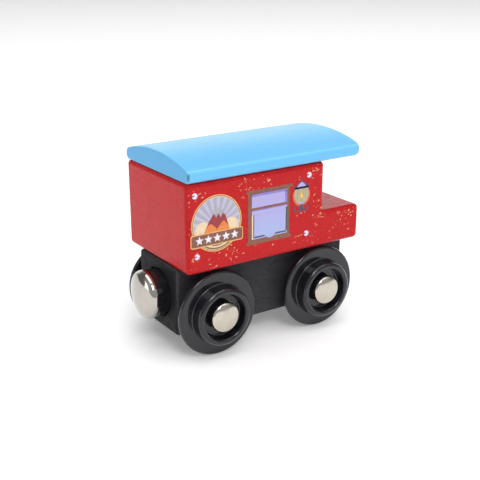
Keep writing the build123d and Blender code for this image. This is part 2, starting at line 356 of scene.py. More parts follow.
pick("edges", is_outer_edge)
bpy.ops.mesh.bevel(offset=body_edge_radius, segments=6, affect="EDGES")
leave_edit()
smooth(body_block)
body_block.data.materials.append(red_enamel)
finish_piece(body_block, "car", "red_paint", "body_block")

# ---------------- printed window
# Pad-printed in ink on both long sides, under the same lacquer: a sash window in a brown wooden frame.
# Every colour is a film of ink a few hundredths of a millimetre thick, laid one over the other.
side_y = body_low.y
film = 0.012 * MM


def at_side(x, z, level):
    """A point on the left side: millimetres behind the body's front and above the track."""
    return Vector((body_low.x + x * MM, side_y - level * film, z * MM))


def draw(name, points, closed=False):
    """Draw a wire from point to point, and leave it in edit mode."""
    bpy.ops.object.select_all(action="DESELECT")
    bpy.ops.mesh.primitive_plane_add(size=MM, location=points[0])
    piece = bpy.context.object
    piece.name = name
    settle(piece)
    edit(piece)
    bpy.ops.mesh.select_all(action="SELECT")
    bpy.ops.mesh.merge(type="CENTER")
    for here, there in zip(points, points[1:]):
        bpy.ops.mesh.extrude_region_move(TRANSFORM_OT_translate={"value": there - here})
    if closed:
        bpy.ops.mesh.select_all(action="SELECT")
        bpy.ops.mesh.edge_face_add()
    return piece


def ink(name, corners, level, colour, rounding=0.0):
    """A film of one ink: its outline is filled, its corners rounded, and the film given its thickness."""
    piece = draw(name, [at_side(x, z, level) for x, z in corners], closed=True)
    if rounding:
        bpy.ops.mesh.bevel(offset=rounding * MM, segments=5, affect="VERTICES")
    bpy.ops.mesh.select_all(action="SELECT")
    bpy.ops.mesh.extrude_region_move(TRANSFORM_OT_translate={"value": (0, (level + 1) * film, 0)})
    bpy.ops.mesh.select_all(action="SELECT")
    bpy.ops.mesh.normals_make_consistent(inside=False)
    leave_edit()
    piece.data.materials.append(colour)
    return piece


def rectangle(x0, z0, x1, z1):
    """Corners of an upright rectangle."""
    return [(x0, z0), (x1, z0), (x1, z1), (x0, z1)]


def arc(x, z, radius, start, end, steps):
    """Points of an arc, its angles in degrees from the +x direction."""
    turns = [radians(start + (end - start) * i / steps) for i in range(steps + 1)]
    return [(x + radius * cos(t), z + radius * sin(t)) for t in turns]


def disc(x, z, radius, steps=64):
    """Points of a full circle."""
    return arc(x, z, radius, 0, 360, steps)[:-1]


def print_on_both_sides(name, films):
    """Join a print's films, copy it to the other side, and hang both on the car."""
    use(films[0])
    for piece in films[1:]:
        piece.select_set(True)
    bpy.ops.object.join()
    left = bpy.context.object
    left.name = name + "_left"
    bpy.ops.object.duplicate()
    right = bpy.context.object
    right.name = name + "_right"
    edit(right)
    bpy.ops.mesh.select_all(action="SELECT")
    bpy.ops.transform.mirror(constraint_axis=(False, True, False), center_override=(0, 0, 0))
    bpy.ops.mesh.flip_normals()
    leave_edit()
    for piece in (left, right):
        finish_piece(piece, "car", "red_paint")


# Ink: a flat tone, a little mottled, with pinholes where the red shows through.
red_below = (0.45, 0.02, 0.025, 1)
printed_ink, given, result = group(
    "printed ink",
    [("Place", VECTOR, (0, 0, 0)), ("Ink", COLOUR, (1, 1, 1, 1)), ("Shade", COLOUR, (1, 1, 1, 1))],
    [("Color", COLOUR), ("Height", FLOAT)],
)
mottle = noise(printed_ink, given["Place"], 1.6, 4.0, 0.6)
toned = mix(printed_ink, ramp(printed_ink, mottle, 0.35, 0.7), given["Ink"], given["Shade"])
pinholes = noise(printed_ink, given["Place"], 6.5, 2.0, 0.5)
bare = ramp(printed_ink, pinholes, 0.70, 0.76, 0.0, 0.8)
printed_ink.links.new(mix(printed_ink, bare, toned, red_below), result["Color"])
printed_ink.links.new(maths(printed_ink, "SUBTRACT", mottle, bare), result["Height"])


def ink_material(name, tone, shade):
    """One printing ink, mottled between two tones, under the lacquer."""
    made, tree, shader = material(name, {"Roughness": 0.3, "Coat Weight": 0.3, "Coat Roughness": 0.12})
    spread = grouped(tree, printed_ink, {"Place": in_millimetres(tree), "Ink": tone, "Shade": shade})
    wire(tree, shader, colour=spread["Color"], height=spread["Height"], depth=0.01)
    return made


brown_ink = ink_material("brown ink", (0.25, 0.085, 0.04, 1), (0.19, 0.06, 0.03, 1))
dark_brown_ink = ink_material("dark brown ink", (0.20, 0.07, 0.035, 1), (0.14, 0.05, 0.03, 1))
lilac_ink = ink_material("lilac ink", (0.50, 0.42, 0.78, 1), (0.42, 0.35, 0.72, 1))
violet_ink = ink_material("violet ink", (0.28, 0.20, 0.60, 1), (0.22, 0.16, 0.5, 1))
slate_ink = ink_material("slate ink", (0.045, 0.055, 0.11, 1), (0.03, 0.035, 0.07, 1))
cream_ink = ink_material("cream ink", (0.86, 0.68, 0.44, 1), (0.78, 0.58, 0.36, 1))
white_ink = ink_material("white ink", (0.88, 0.84, 0.88, 1), (0.74, 0.70, 0.80, 1))

# The pane fades from lilac at its head to a pale sky blue at the sill.
pane_sky, pane_lilac = (0.385, 0.46, 0.77, 1), (0.43, 0.39, 0.73, 1)
pane_ink, tree, shader = material("pane ink", {"Roughness": 0.25, "Coat Weight": 0.35, "Coat Roughness": 0.1})
place = in_millimetres(tree)
fade = ramp(tree, split(tree, place)["Z"], 26.5, 37.0)
tone = mix(tree, fade, pane_sky, pane_lilac)
spread = grouped(tree, printed_ink, {"Place": place, "Ink": tone, "Shade": tone})
wire(tree, shader, colour=spread["Color"], height=spread["Height"], depth=0.01)

jamb_left, jamb_right, head_left, head_right = 15.95, 27.6, 15.5, 28.4
pane_left, pane_right, pane_bottom, pane_top = 16.95, 26.85, 27.0, 37.7
rail_bottom, rail_top, blind_left, blind_right, blind_top = 33.95, 34.5, 18.6, 25.35, 32.65
window_films = [
    ink("window_jambs", rectangle(jamb_left, 26.0, jamb_right, 38.3), 1, brown_ink),
    ink("window_head", rectangle(head_left, 38.0, head_right, 38.65), 2, brown_ink, 0.1),
    ink("window_sill", rectangle(head_left, 25.75, 28.1, 26.35), 2, brown_ink, 0.1),
    ink("window_pane", rectangle(pane_left, pane_bottom, pane_right, pane_top), 2, pane_ink),
    ink("head_shade", rectangle(16.4, 37.72, 27.3, 37.98), 3, dark_brown_ink),
    ink("jamb_shade", rectangle(27.32, 26.4, jamb_right, 37.9), 3, dark_brown_ink),
    ink("upper_pane_shade", rectangle(pane_left, 37.15, pane_right, pane_top), 3, violet_ink),
    ink("upper_pane_edge", rectangle(26.25, 34.6, pane_right, 37.3), 3, violet_ink),
    ink("meeting_rail", rectangle(16.9, rail_bottom, 26.95, rail_top), 3, brown_ink),
    ink("rail_shade", rectangle(pane_left, 33.7, pane_right, rail_bottom), 3, violet_ink),
    ink("pane_light", rectangle(17.0, 27.1, 17.35, 32.9), 3, cream_ink),
    ink("left_shade", rectangle(17.35, 27.3, 17.6, 32.9), 4, slate_ink),
    ink("right_shade", rectangle(26.5, 27.6, pane_right, 33.3), 4, slate_ink),
    ink("sill_shade_left", [(17.6, 27.25), (20.8, 27.25), (20.4, 27.6), (17.6, 27.6)], 4, slate_ink),
    ink("sill_shade_right", [(23.3, 27.25), (26.6, 27.25), (26.6, 27.6), (23.7, 27.6)], 4, slate_ink),
    ink("sill_notch", [(21.0, 27.3), (21.6, 26.7), (22.6, 26.7), (23.2, 27.3)], 4, pane_ink),
    ink("blind_left", rectangle(blind_left, 28.3, 18.75, 32.6), 4, lilac_ink),
    ink("blind_right", rectangle(25.2, 28.3, blind_right, 32.6), 4, lilac_ink),
    ink("blind_top", rectangle(blind_left, 32.5, blind_right, blind_top), 4, lilac_ink),
]
print_on_both_sides("window_print", window_films)

# ---------------- printed badge
# A round emblem of plain design: a snow-capped red peak over orange foothills, between two cream clouds,
# with rays in a lilac sky, in a gold rim. A brown ribbon with a row of plain stars crosses it.
badge_x, badge_z, badge_radius = 7.6, 32.75, 6.55
ribbon_bottom, ribbon_top = 28.05, 30.7
sunrise_z, ray_count = badge_z - 0.8, 22.0
cloud_z, cloud_radius, cloud_reach, cloud_foot = 31.6, 2.0, 3.7, 5.6
star_z, star_radius, star_gap = 29.4, 1.08, 2.3

gold_ink = ink_material("gold ink", (0.86, 0.50, 0.16, 1), (0.76, 0.40, 0.12, 1))
orange_ink = ink_material("orange ink", (0.82, 0.24, 0.03, 1), (0.72, 0.18, 0.02, 1))
crimson_ink = ink_material("crimson ink", (0.36, 0.015, 0.02, 1), (0.26, 0.01, 0.016, 1))
grey_ink = ink_material("grey ink", (0.42, 0.42, 0.46, 1), (0.32, 0.32, 0.36, 1))

sky_ink, tree, shader = material("sky ink", {"Roughness": 0.3, "Coat Weight": 0.3, "Coat Roughness": 0.12})
place = in_millimetres(tree)
across, _, up = split(tree, place)
across = maths(tree, "SUBTRACT", across, body_low.x / MM + badge_x)
up = maths(tree, "SUBTRACT", up, sunrise_z)
bearing = maths(tree, "ARCTAN2", up, across)
rays = maths(tree, "SINE", maths(tree, "MULTIPLY", bearing, ray_count))
tone = mix(tree, ramp(tree, rays, -0.3, 0.6), (0.40, 0.38, 0.50, 1), (0.53, 0.50, 0.62, 1))
spread = grouped(tree, printed_ink, {"Place": place, "Ink": tone, "Shade": tone})
wire(tree, shader, colour=spread["Color"], height=spread["Height"], depth=0.01)


def star(x, z, radius):
    """Outline of a five-pointed star."""
    reach = [radius if i % 2 == 0 else 0.45 * radius for i in range(10)]
    return [(x + r * sin(i * pi / 5), z + r * cos(i * pi / 5)) for i, r in enumerate(reach)]


def drawn_about(points, x, z=0.0):
    """Outline points that are given from a middle at x and z."""
    return [(x + across, z + up) for across, up in points]


def cloud(side):
    """A cloud at one side of the peak, standing on the ribbon."""
    puff = arc(badge_x + side * cloud_reach, cloud_z, cloud_radius, 165, 15, 12)
    left, right = sorted([badge_x, badge_x + side * cloud_foot])
    return [(left, ribbon_top)] + puff + [(right, ribbon_top)]


inner = badge_radius - 0.55
ribbon_left, ribbon_right = badge_x - 6.6, badge_x + 6.65
massif = drawn_about([(-3.4, ribbon_top), (-2.1, 33.4), (-1.4, 34.2), (-0.1, 36.9), (0.9, 35.3), (1.5, 35.8),
                      (2.4, 33.9), (3.4, ribbon_top)], badge_x)
snow = drawn_about([(-1.15, 34.7), (-0.1, 36.9), (0.9, 35.3), (1.5, 35.8), (2.1, 34.55), (1.5, 34.9),
                    (1.0, 34.0), (0.4, 35.0), (-0.2, 34.0), (-0.7, 35.0)], badge_x)
left_foothill = drawn_about([(-3.5, ribbon_top), (-3.0, 31.7), (-1.7, 33.0), (-0.3, 31.8),
                             (0.4, ribbon_top)], badge_x)
right_foothill = drawn_about([(-0.6, ribbon_top), (0.2, 31.6), (1.7, 33.3), (3.0, 31.9),
                              (3.5, ribbon_top)], badge_x)
ribbon_rim = rectangle(ribbon_left - 0.2, ribbon_bottom - 0.25, ribbon_right + 0.2, ribbon_top + 0.2)
ribbon = rectangle(ribbon_left, ribbon_bottom, ribbon_right, ribbon_top)
badge_films = [
    ink("badge_rim", disc(badge_x, badge_z, badge_radius), 1, gold_ink),
    ink("badge_line", disc(badge_x, badge_z, badge_radius - 0.26), 2, dark_brown_ink),
    ink("badge_band", disc(badge_x, badge_z, badge_radius - 0.4), 3, cream_ink),
    ink("badge_sky", disc(badge_x, badge_z, inner), 4, sky_ink),
    ink("left_hill", cloud(-1), 5, cream_ink, 0.2),
    ink("right_hill", cloud(1), 5, cream_ink, 0.2),
    ink("massif", massif, 6, crimson_ink, 0.12),
    ink("snow", snow, 7, grey_ink, 0.05),
    ink("left_foothill", left_foothill, 7, orange_ink, 0.5),
    ink("right_foothill", right_foothill, 8, orange_ink, 0.5),
    ink("badge_foot", arc(badge_x, badge_z, inner, 222, 318, 24), 5, brown_ink),
    ink("foot_line", arc(badge_x, badge_z, inner - 0.35, 236, 304, 18), 6, cream_ink),
    ink("foot_shade", arc(badge_x, badge_z, inner - 0.75, 230, 310, 18), 7, brown_ink),
    ink("ribbon_rim", ribbon_rim, 10, gold_ink, 0.5),
    ink("ribbon", ribbon, 11, brown_ink, 0.35),
]
for i in range(5):
    star_x = badge_x + (i - 2) * star_gap
    shadow = star(star_x + 0.12, star_z - 0.1, star_radius + 0.04)
    badge_films.append(ink("star_shadow", shadow, 12, dark_brown_ink))
    badge_films.append(ink("star", star(star_x, star_z, star_radius), 13, white_ink))
print_on_both_sides("badge_print", badge_films)

# ---------------- printed lantern
# Pad-printed like the window: an oil lantern over a scrolled bracket, with a slate cap and finial, olive
# glass bars, a flame, and a warm glow behind the glass.
lantern_x, lantern_eaves, glass_foot = 31.0, 37.3, 33.0
olive_ink = ink_material("olive ink", (0.40, 0.34, 0.16, 1), (0.32, 0.28, 0.14, 1))
glow_ink = ink_material("glow ink", (0.72, 0.16, 0.07, 1), (0.62, 0.09, 0.05, 1))
lantern_glass_ink = ink_material("lantern glass ink", (0.50, 0.43, 0.24, 1), (0.40, 0.36, 0.25, 1))
flame_ink = ink_material("flame ink", (0.90, 0.58, 0.10, 1), (0.84, 0.46, 0.06, 1))


def curl(side):
    """One scroll of the bracket: a band that turns in on itself."""
    x, z = lantern_x + side * 1.2, 32.25
    outer = arc(x, z, 0.95, 90 - side * 20, 90 - side * 330, 18)
    inner_edge = arc(x, z, 0.58, 90 - side * 330, 90 - side * 20, 18)
    return outer + inner_edge


glass = drawn_about([(-1.7, lantern_eaves), (-2.2, 35.6), (-1.6, 34.0), (0.0, glass_foot), (1.6, 34.0),
                     (2.2, 35.6), (1.7, lantern_eaves)], lantern_x)
tip = drawn_about([(-1.0, 33.7), (0.0, glass_foot), (1.0, 33.7)], lantern_x)
flame_edge = drawn_about([(-0.75, 35.3), (0.0, 34.1), (0.75, 35.3), (0.0, 36.9)], lantern_x)
flame = drawn_about([(-0.5, 35.2), (0.0, 34.4), (0.5, 35.2), (0.0, 36.6)], lantern_x)
eaves = drawn_about([(-2.45, -0.1), (-1.9, -0.35), (1.9, -0.35), (2.45, -0.1), (2.3, 0.35), (1.5, 0.15),
                     (-1.5, 0.15), (-2.3, 0.35)], lantern_x, lantern_eaves)
cap = drawn_about([(-2.1, lantern_eaves - 0.2), (2.1, lantern_eaves - 0.2), (1.2, 38.2), (0.0, 38.95),
                   (-1.2, 38.2)], lantern_x)
cap_panel = drawn_about([(-1.4, lantern_eaves + 0.15), (1.3, lantern_eaves + 0.15), (0.7, 38.15),
                         (0.0, 38.65), (-0.8, 38.15)], lantern_x)
lantern_films = [
    ink("glow", disc(lantern_x, 35.3, 2.5, 32), 1, glow_ink),
    ink("lantern_glass", glass, 2, lantern_glass_ink, 0.4),
    ink("left_bar", rectangle(lantern_x - 1.25, 34.4, lantern_x - 1.05, lantern_eaves), 3, olive_ink),
    ink("right_bar", rectangle(lantern_x + 1.05, 34.4, lantern_x + 1.25, lantern_eaves), 3, olive_ink),
    ink("lantern_tip", tip, 3, lilac_ink),
    ink("flame_edge", flame_edge, 3, olive_ink, 0.5),
    ink("flame", flame, 4, flame_ink, 0.3),
    ink("eaves", eaves, 3, slate_ink),
    ink("cap", cap, 3, slate_ink, 0.15),
    ink("cap_panel", cap_panel, 4, lilac_ink, 0.15),
    ink("finial", disc(lantern_x, 39.05, 0.28, 16), 4, slate_ink),
    ink("stem", rectangle(lantern_x - 0.3, 31.4, lantern_x + 0.3, 33.2), 3, slate_ink, 0.1),
    ink("left_scroll", curl(-1), 2, slate_ink),
    ink("right_scroll", curl(1), 2, slate_ink),
]
print_on_both_sides("lantern_print", lantern_films)

# ---------------- printed bolt heads
# Four white bolt heads, one near each corner of the cab side, pad-printed in the same inks as the window.
# Each is a hexagon with a lilac shadow and a red slot.
bolt_radius, bolt_shadow_radius = 0.66, 0.7
bolt_slot = [(-0.8, -0.2), (-0.1, -0.2), (0.1, 0.1), (-0.3, 0.15), (-0.8, 0.05)]
bolt_films = []
for bolt_x, bolt_z in ((2.0, 39.85), (2.35, 25.85), (33.1, 40.05), (32.6, 25.75)):
    shadow = disc(bolt_x + 0.12, bolt_z - 0.12, bolt_shadow_radius, 20)
    bolt_films.append(ink("bolt_shadow", shadow, 1, lilac_ink))
    bolt_films.append(ink("bolt_head", disc(bolt_x, bolt_z, bolt_radius, 6), 2, white_ink, 0.1))
    bolt_films.append(ink("bolt_slot", drawn_about(bolt_slot, bolt_x, bolt_z), 3, crimson_ink, 0.05))
print_on_both_sides("bolt_prints", bolt_films)

# ---------------- roof board
# A beech board planed to a low crown, glued on flush with both ends, in sky-blue enamel. A paler blue line is
# painted along the upper edge of each side, and the front left corner is chipped down to a dark undercoat.
# Both sawn ends are painted a darker blue: painted shade.
roof_low, roof_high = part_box("roof_board")
roof_side_height = 2.65 * MM
roof_side_z = roof_low.z + roof_side_height
roof_edge_radius = 1.2 * MM
roof_front_edge_radius = 0.3 * MM
roof_rear_corner_radius = 2.4 * MM
roof_edge_angle = radians(40)
crown_rise = roof_high.z - roof_side_z
roof_half = roof_high.y
crown_radius = (roof_half ** 2 + crown_rise ** 2) / (2 * crown_rise)
crown_span = asin(roof_half / crown_radius)
crown_steps, crown_fineness = 24, 0.72

blue_thin, blue_full, blue_fibre = (0.175, 0.57, 0.93, 1), (0.16, 0.54, 0.90, 1), (0.10, 0.46, 0.82, 1)
blue_arris_line, blue_end_shade, dark_undercoat = (0.36, 0.76, 1.0, 1), (0.075, 0.38, 0.70, 1), (0.07, 0.16, 0.16, 1)
blue_enamel, tree, shader = material(
    "sky-blue enamel", {"IOR": 1.45, "Coat Weight": 0.05, "Coat Roughness": 0.15, "Specular IOR Level": 0.3}
)
place = in_millimetres(tree)
grain = grouped(tree, wood_grain, {"Place": place, "Fineness": 0.8})
touched = grouped(tree, handling, {"Place": place, "Scale": 0.8})
edge_marks = grouped(tree, edge_wear_and_shade, {"Place": place, "Low": roof_low / MM, "High": roof_high / MM, "Width": 1.2})
colour = mix(tree, touched["Waves"], blue_full, blue_thin)
colour = mix(tree, maths(tree, "MULTIPLY", grain["Fibres"], 0.16), colour, blue_fibre)
_, across, up = split(tree, place)
# A paler blue line along the upper arris of each side.
off_arris = maths(tree, "ABSOLUTE", maths(tree, "SUBTRACT", up, roof_side_z / MM))
near_arris = ramp(tree, off_arris, 0.08, 0.3, 1.0, 0.0)
out_wide = ramp(tree, maths(tree, "ABSOLUTE", across), roof_half / MM - 1.8, roof_half / MM - 0.9)
arris_line = maths(tree, "MULTIPLY", maths(tree, "MULTIPLY", near_arris, out_wide), 0.3)
colour = mix(tree, arris_line, colour, blue_arris_line)
# Both ends painted a darker blue: painted shade.
colour = mix(tree, ramp(tree, facing(tree, "X"), 0.6, 0.95, 0.0, 0.7), colour, blue_end_shade)
chipped_corner = Vector((roof_low.x, roof_low.y + 0.15 * MM, roof_side_z - 1.0 * MM)) / MM
from_corner = vectors(tree, "SUBTRACT", place, chipped_corner)
reach = vectors(tree, "LENGTH", stretch(tree, from_corner, 1.0, 1.0, 0.42), output="Value")
breaks = noise(tree, place, 2.5, 5.0, 0.6)
chip = ramp(tree, maths(tree, "MULTIPLY_ADD", breaks, -0.7, reach), -0.02, 0.12, 0.8, 0.0)
colour = mix(tree, chip, colour, dark_undercoat)
gloss = ramp(tree, touched["Smudges"], 0.0, 1.0, 0.29, 0.34)
height = maths(tree, "ADD", maths(tree, "MULTIPLY", grain["Fibres"], 0.5), touched["Waves"])
height = maths(tree, "SUBTRACT", height, maths(tree, "MULTIPLY", chip, 1.5))
wire(tree, shader, colour, gloss, height, 0.01)

# The crown's arc, with a wide first strip at each side to leave room for the rounded edge.
leans = [-1] + [crown_fineness * (2 * step / crown_steps - 1) for step in range(crown_steps + 1)] + [1]
crown_centre_z = roof_high.z - crown_radius
section = [Vector((roof_low.x, -roof_half, roof_low.z))]
for lean in leans:
    angle = lean * crown_span
    across, up = crown_radius * sin(angle), crown_radius * cos(angle)
    section.append(Vector((roof_low.x, across, crown_centre_z + up)))
section.append(Vector((roof_low.x, roof_half, roof_low.z)))
roof = draw("painted_roof", section, closed=True)
bpy.ops.mesh.select_all(action="SELECT")
bpy.ops.mesh.extrude_region_move(TRANSFORM_OT_translate={"value": (roof_high.x - roof_low.x, 0, 0)})
bpy.ops.mesh.select_all(action="SELECT")
bpy.ops.mesh.normals_make_consistent(inside=False)


def is_rear_upright(edge):
    """An upright corner edge of the roof's rear end."""
    run = edge.verts[1].co - edge.verts[0].co
    return abs(run.z) > 0.9 * run.length and run.length > MM and middle(edge).x > roof_high.x - 0.1 * MM


def is_on_front(edge):
    """An edge of the sawn front end."""
    return max(vert.co.x for vert in edge.verts) < roof_low.x + 0.01 * MM


pick("edges", is_rear_upright)
bpy.ops.mesh.bevel(offset=roof_rear_corner_radius, segments=8, affect="EDGES")
pick("edges", lambda edge: edge.calc_face_angle(0) > roof_edge_angle and not is_on_front(edge))
bpy.ops.mesh.bevel(offset=roof_edge_radius, segments=7, affect="EDGES")
pick("edges", lambda edge: edge.calc_face_angle(0) > roof_edge_angle and is_on_front(edge))
bpy.ops.mesh.bevel(offset=roof_front_edge_radius, segments=3, affect="EDGES")
leave_edit()
smooth(roof)
roof.data.materials.append(blue_enamel)
finish_piece(roof, "car", "blue_paint", "roof_board")

# ---------------- chassis block
# A narrower beech block stained satin black, screwed on from below. The coupler sits in a shallow
# counterbore in its front end and the steel axles pass through it. Both ends are painted near black,
# painted shade, and made more matte.
chassis_low, chassis_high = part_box("chassis_block")
stain_thin, stain_full = (0.056, 0.056, 0.064, 1), (0.018, 0.018, 0.021, 1)
stain_pores_and_end_shade, stain_rubbed = (0.004, 0.004, 0.005, 1), (0.07, 0.065, 0.06, 1)


def refinish(finish, *names):
    """Give plain parts their finish."""
    for name in names:
        nodes[name].data.materials.clear()
        nodes[name].data.materials.append(finish)


black_stain, tree, shader = material("black stain", {"IOR": 1.45, "Specular IOR Level": 0.22})
place = in_millimetres(tree)
grain = grouped(tree, wood_grain, {"Place": place, "Fineness": 1.2})
touched = grouped(tree, handling, {"Place": place, "Scale": 1.2})
edges = {"Place": place, "Low": chassis_low / MM, "High": chassis_high / MM, "Width": 0.9}
edge_marks = grouped(tree, edge_wear_and_shade, edges)
# Faces along X: painted near black as painted shade, and made more matte.
ends_shaded_and_matte = ramp(tree, facing(tree, "X"), 0.6, 0.95)
colour = mix(tree, grain["Fibres"], stain_full, stain_thin)
colour = mix(tree, maths(tree, "MULTIPLY", grain["Pores"], 0.6), colour, stain_pores_and_end_shade)
colour = mix(tree, maths(tree, "MULTIPLY", edge_marks["Wear and shade"], 0.4), colour, stain_rubbed)
# Ends painted near black: painted shade.
colour = mix(tree, maths(tree, "MULTIPLY", ends_shaded_and_matte, 0.85), colour, stain_pores_and_end_shade)
gloss = ramp(tree, touched["Smudges"], 0.0, 1.0, 0.42, 0.58)
gloss = maths(tree, "MULTIPLY_ADD", ends_shaded_and_matte, 0.15, gloss)
height = maths(tree, "SUBTRACT", grain["Fibres"], grain["Pores"])
wire(tree, shader, colour, gloss, height, 0.06)
refinish(black_stain, "chassis_block")

# ---------------- axles and fasteners
# Plain zinc-plated steel: two axles pressed through the chassis block, the coupler's nail, and two
# countersunk screws seen from below. The roof's beech dowels and the coupler's magnet stay hidden.
scratches, given, result = group(
    "fine scratches",
    [("Place", VECTOR, (0, 0, 0)), ("Scale", FLOAT, 1.0)],
    [("Lines", FLOAT), ("Pits", FLOAT)],
)
line_scale = maths(scratches, "MULTIPLY", given["Scale"], 4.0)
one_way = noise(scratches, stretch(scratches, given["Place"], 0.25, 1.0, 3.0), line_scale, 4.0, 0.7)
other_way = noise(scratches, stretch(scratches, given["Place"], 2.0, 1.0, 0.3), line_scale, 4.0, 0.7)
scratches.links.new(maths(scratches, "MULTIPLY", one_way, other_way), result["Lines"])
pitting = noise(scratches, given["Place"], line_scale, 3.0, 0.6)
scratches.links.new(ramp(scratches, pitting, 0.64, 0.74), result["Pits"])


def metal(name, bright, dull, smoothest, roughest, scale, depth=0.003):
    """Plated metal with fine scratches, small pits and finger marks."""
    made, tree, shader = material(name, {"Metallic": 1.0})
    place = in_millimetres(tree)
    marks = grouped(tree, scratches, {"Place": place, "Scale": scale})
    touched = grouped(tree, handling, {"Place": place, "Scale": 1.6})
    colour = mix(tree, maths(tree, "MULTIPLY", touched["Smudges"], 0.5), bright, dull)
    colour = mix(tree, maths(tree, "MULTIPLY", marks["Pits"], 0.3), colour, dull)
    smudged = maths(tree, "MULTIPLY", touched["Smudges"], 0.5)
    uneven = maths(tree, "MULTIPLY_ADD", marks["Lines"], 0.6, smudged)
    gloss = ramp(tree, uneven, 0.1, 0.7, smoothest, roughest)
    wire(tree, shader, colour, gloss, maths(tree, "ADD", marks["Lines"], touched["Waves"]), depth)
    return made


zinc = metal("zinc-plated steel", (0.56, 0.56, 0.57, 1), (0.42, 0.42, 0.44, 1), 0.28, 0.45, 1.0)
ferrite = metal("ferrite magnet", (0.10, 0.10, 0.11, 1), (0.06, 0.06, 0.065, 1), 0.4, 0.6, 1.0)
refinish(zinc, "front_axle", "rear_axle", "coupler_pin", "front_chassis_screw", "rear_chassis_screw")
refinish(ferrite, "coupler_magnet")

bare_beech, tree, shader = material("bare beech", {"Specular IOR Level": 0.3})
place = in_millimetres(tree)
grain = grouped(tree, wood_grain, {"Place": place, "Fineness": 1.0})
colour = mix(tree, grain["Fibres"], (0.46, 0.28, 0.14, 1), (0.66, 0.45, 0.26, 1))
colour = mix(tree, maths(tree, "MULTIPLY", grain["Pores"], 0.5), colour, (0.30, 0.17, 0.08, 1))
wire(tree, shader, colour, ramp(tree, grain["Fibres"], 0.2, 0.8, 0.55, 0.7), grain["Fibres"], 0.03)
refinish(bare_beech, "front_roof_dowel", "rear_roof_dowel")

# ---------------- wheels
# Glossy black moulded wheels that turn on the steel axles: a thin flange inboard, a tread hub outboard,
# a dished face round the hub cap, and a small gate mark left in the dish by the mould.
spin_steps = 128
merge_distance = 0.001 * MM
flange_radius, flange_back, flange_face = 10.3, 11.55, 12.85
tread_base, tread_rim, rim_y = 7.15, 6.95, 15.95
dish_mouth, dish_floor, dish_y = 5.5, 5.2, 13.7
boss_radius, boss_y, bore_radius = 4.5, 9.0, 1.58
gate_inner, gate_outer, gate_half_width = 3.95, 4.65, 0.3

black_plastic, tree, shader = material(
    "black moulded plastic",
    {"IOR": 1.5, "Specular IOR Level": 0.42, "Coat Weight": 0.25, "Coat Roughness": 0.04},
)
place = in_millimetres(tree)
touched = grouped(tree, handling, {"Place": place, "Scale": 1.4})
marks = grouped(tree, scratches, {"Place": place, "Scale": 0.8})
colour = mix(tree, touched["Smudges"], (0.008, 0.008, 0.011, 1), (0.014, 0.014, 0.019, 1))
colour = mix(tree, maths(tree, "MULTIPLY", marks["Pits"], 0.2), colour, (0.05, 0.05, 0.055, 1))
gloss = ramp(tree, maths(tree, "ADD", touched["Smudges"], marks["Lines"]), 0.0, 1.3, 0.09, 0.17)
wire(tree, shader, colour, gloss, maths(tree, "MULTIPLY_ADD", marks["Lines"], 0.2, touched["Waves"]), 0.004)


def turned(name, corners, at):
    """Lathe a closed outline. corners are (radius, reach, rounding) in millimetres, and at() places them."""
    outline = [at(radius, reach) for radius, reach, _ in corners]
    piece = draw(name, outline + outline[:1])
    bpy.ops.mesh.select_all(action="SELECT")
    bpy.ops.mesh.remove_doubles(threshold=merge_distance)
    for (_, _, rounding), point in zip(corners, outline):
        if rounding:
            pick("verts", lambda vert: (vert.co - point).length < 0.01 * MM)
            bpy.ops.mesh.bevel(offset=rounding * MM, segments=5, affect="VERTICES")
    bpy.ops.mesh.select_all(action="SELECT")
    origin, axis = at(0, 0), (at(0, 1) - at(0, 0)).normalized()
    bpy.ops.mesh.spin(steps=spin_steps, angle=2 * pi, center=origin, axis=axis, use_auto_merge=True)
    bpy.ops.mesh.select_all(action="SELECT")
    bpy.ops.mesh.remove_doubles(threshold=merge_distance)
    bpy.ops.mesh.normals_make_consistent(inside=False)
    leave_edit()
    return smooth(piece)


def dome(radius, rim, top, shoulder, steps=10):
    """Outline points of a pressed dome: its rounded shoulder, then its shallow crown to the axis."""
    rise, inset = top - rim, radius - shoulder
    crown = (inset ** 2 + rise ** 2 - shoulder ** 2) / (2 * (rise - shoulder))
    lean = atan2(inset, crown - rise)
    turns = [pi / 2 + (lean - pi / 2) * i / steps for i in range(steps)]
    edge = [(inset + shoulder * sin(t), rim + shoulder * cos(t), 0) for t in turns]
    turns = [lean * (1 - i / steps) for i in range(steps + 1)]
    return edge + [(crown * sin(t), top - crown * (1 - cos(t)), 0) for t in turns]


def about_axle(node_name, side):
    """Placer for pieces turned about a wheel's axle: radius up, reach outwards from the middle plane."""
    low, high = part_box(node_name)
    x, z = (low.x + high.x) / 2, (low.z + high.z) / 2
    return lambda radius, reach: Vector((x, side * reach * MM, z + radius * MM))


wheel_outline = [
    (bore_radius, boss_y, 0), (boss_radius, boss_y, 0.2), (boss_radius, flange_back, 0.3),
    (flange_radius, flange_back, 0.45), (flange_radius, flange_face, 0.6), (tread_base, flange_face, 0.3),
    (tread_rim, rim_y, 0.8), (dish_mouth, rim_y, 0.5), (dish_floor, dish_y, 0.35), (bore_radius, dish_y, 0),
]
front_left_axle = about_axle("front_left_wheel", -1)
master_wheel = turned("moulded_front_left_wheel", wheel_outline, front_left_axle)
master_wheel.data.materials.append(black_plastic)
half_gate = Vector((gate_half_width, 0, 0)) * MM
gate_low = front_left_axle(gate_inner, dish_y + 0.3) - half_gate
gate_high = front_left_axle(gate_outer, dish_y - 0.2) + half_gate
gate_mark = block("gate_mark", gate_low, gate_high)
edit(gate_mark)
pick("edges", lambda edge: middle(edge).y < gate_low.y + 0.05 * MM)
bpy.ops.mesh.bevel(offset=0.12 * MM, segments=2, affect="EDGES")
leave_edit()
smooth(gate_mark)
gate_mark.data.materials.append(black_plastic)
use(master_wheel)
gate_mark.select_set(True)
bpy.ops.object.join()


